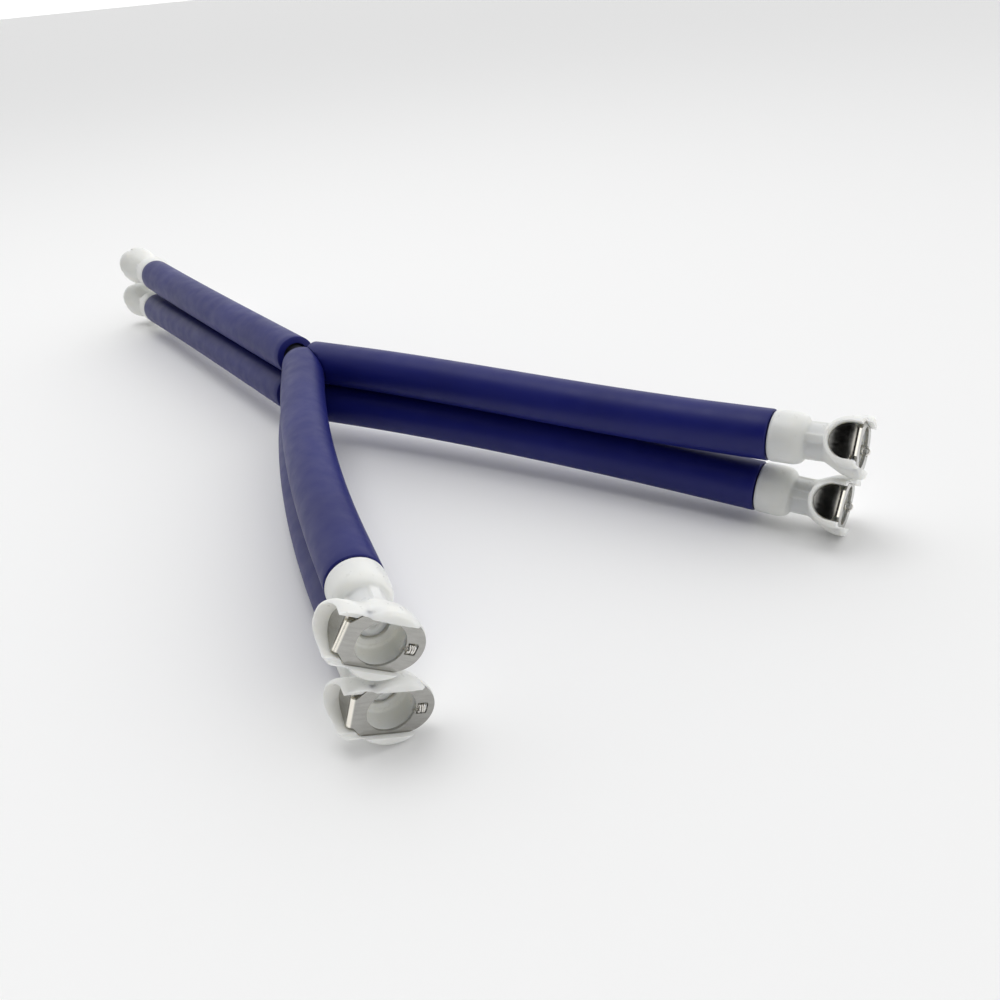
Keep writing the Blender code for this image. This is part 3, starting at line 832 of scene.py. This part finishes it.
def add_world():
    """White studio, a little brighter low down, with one side black for the steel to reflect."""
    world = bpy.data.worlds.new("studio")
    world.use_nodes = True
    nodes = world.node_tree.nodes
    links = world.node_tree.links
    place = nodes.new("ShaderNodeTexCoord")
    facing = nodes.new("ShaderNodeVectorMath")
    facing.operation = "DOT_PRODUCT"
    facing.inputs[1].default_value = DARK_SIDE
    height = nodes.new("ShaderNodeSeparateXYZ")
    darker = nodes.new("ShaderNodeMapRange")
    higher = nodes.new("ShaderNodeMapRange")
    both = nodes.new("ShaderNodeMath")
    both.operation = "MULTIPLY"
    ranges = ((darker, DARK_FROM, DARK_FULL, 1.0, 0.0), (higher, 0.0, 0.8, HORIZON, 1.0))
    for spread, low, high, at_low, at_high in ranges:
        spread.inputs["From Min"].default_value = low
        spread.inputs["From Max"].default_value = high
        spread.inputs["To Min"].default_value = at_low
        spread.inputs["To Max"].default_value = at_high
    links.new(place.outputs["Generated"], facing.inputs[0])
    links.new(place.outputs["Generated"], height.inputs["Vector"])
    links.new(facing.outputs["Value"], darker.inputs["Value"])
    links.new(height.outputs["Z"], higher.inputs["Value"])
    links.new(darker.outputs["Result"], both.inputs[0])
    links.new(higher.outputs["Result"], both.inputs[1])
    links.new(both.outputs["Value"], nodes["Background"].inputs["Color"])
    nodes["Background"].inputs["Strength"].default_value = WORLD_STRENGTH
    bpy.context.scene.world = world


def add_stage():
    work = bmesh.new()
    bmesh.ops.create_grid(work, x_segments=1, y_segments=1, size=FLOOR_HALF)
    floor = link("floor", cleaned(work, "floor"))
    floor.location.z = -FLOOR_DROP
    floor.data.materials.append(floor_material())
    add_world()
    add_light("overhead", LAMP_AT, (0.0, 0.0, 0.0), LAMP_SIZE, LAMP_POWER)
    bpy.context.scene.view_settings.view_transform = "Standard"


# ---------------------------------------------------------------- assembly

SHARP_ANGLE = math.radians(55.0)


def place_piece(name, mesh, material, body, node, matrix=None):
    """A finished piece: smooth shaded, painted, riding its body and standing for its CAD node."""
    piece = link(name, mesh.copy())
    keep_own_frame(piece.data)
    if matrix is not None:
        piece.data.transform(matrix)
    piece.data.materials.clear()
    piece.data.materials.append(material)
    piece.data.shade_smooth()
    piece.data.set_sharp_from_angle(angle=SHARP_ANGLE)
    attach(piece, body)
    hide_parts(node)
    return piece


def main():
    acetal = acetal_material()
    steel = latch_material()
    hose = hose_material()
    seal = seal_material()
    latch_coil = spring_material("latch_spring_wire")
    valve_coil = spring_material("valve_spring_wire")
    wye = wye_material()
    seal_ring = arc(SEAL_R, SEAL_Z, SEAL_WIRE_R, 90, -255, 23)
    valve_spring_span = (FLANGE_FRONT + 0.3, POPPET_BACK + 0.8)
    pieces = [
        ("moulded_body", "coupling_body", make_body(), acetal, "acetal", "root"),
        ("tail_barb", "hose_barb", make_hose_barb(), acetal, "acetal", "root"),
        ("latch_plate", "thumb_latch", make_latch(), steel, "latch_steel", "latch_"),
        ("latch_coil", "latch_spring", make_latch_spring(), latch_coil, "spring_steel", "root"),
        ("poppet_head", "valve_poppet", make_poppet(), acetal, "acetal", "poppet_"),
        ("seal_ring", "valve_seal", lathe("valve_seal", seal_ring, closed=True), seal, "seal", "poppet_"),
        ("valve_coil", "valve_spring",
         make_coil("valve_spring", VALVE_COIL_R, VALVE_WIRE_R, *valve_spring_span, 4.5), valve_coil,
         "spring_steel", "root"),
    ]
    for level in ("upper", "lower"):
        legs = {side: LEGS[side + "_" + level] for side in ("stem", "left", "right")}
        neighbours = {"stem": None, "left": legs["right"], "right": legs["left"]}
        place_piece("wye_" + level, make_wye("wye_" + level, list(legs.values())), wye,
                    "root", "y_connector_" + level)
        for side, leg in legs.items():
            key = side + "_" + level
            matrix = coupling_matrix(leg)
            fitted = {}
            for name, node, mesh, material, slot, body in pieces:
                rides = body if body == "root" else body + key
                fitted[name] = place_piece(name + "_" + key, mesh, material, rides,
                                           node + "_" + key, matrix)
            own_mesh(fitted["latch_coil"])
            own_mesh(fitted["valve_coil"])
            tube = place_piece("tube_" + key, make_hose("tube_" + key, leg, neighbours[side]), hose,
                               "root", "hose_" + key)
            path = [point * MM for point in hose_path(leg)]
    add_stage()


main()
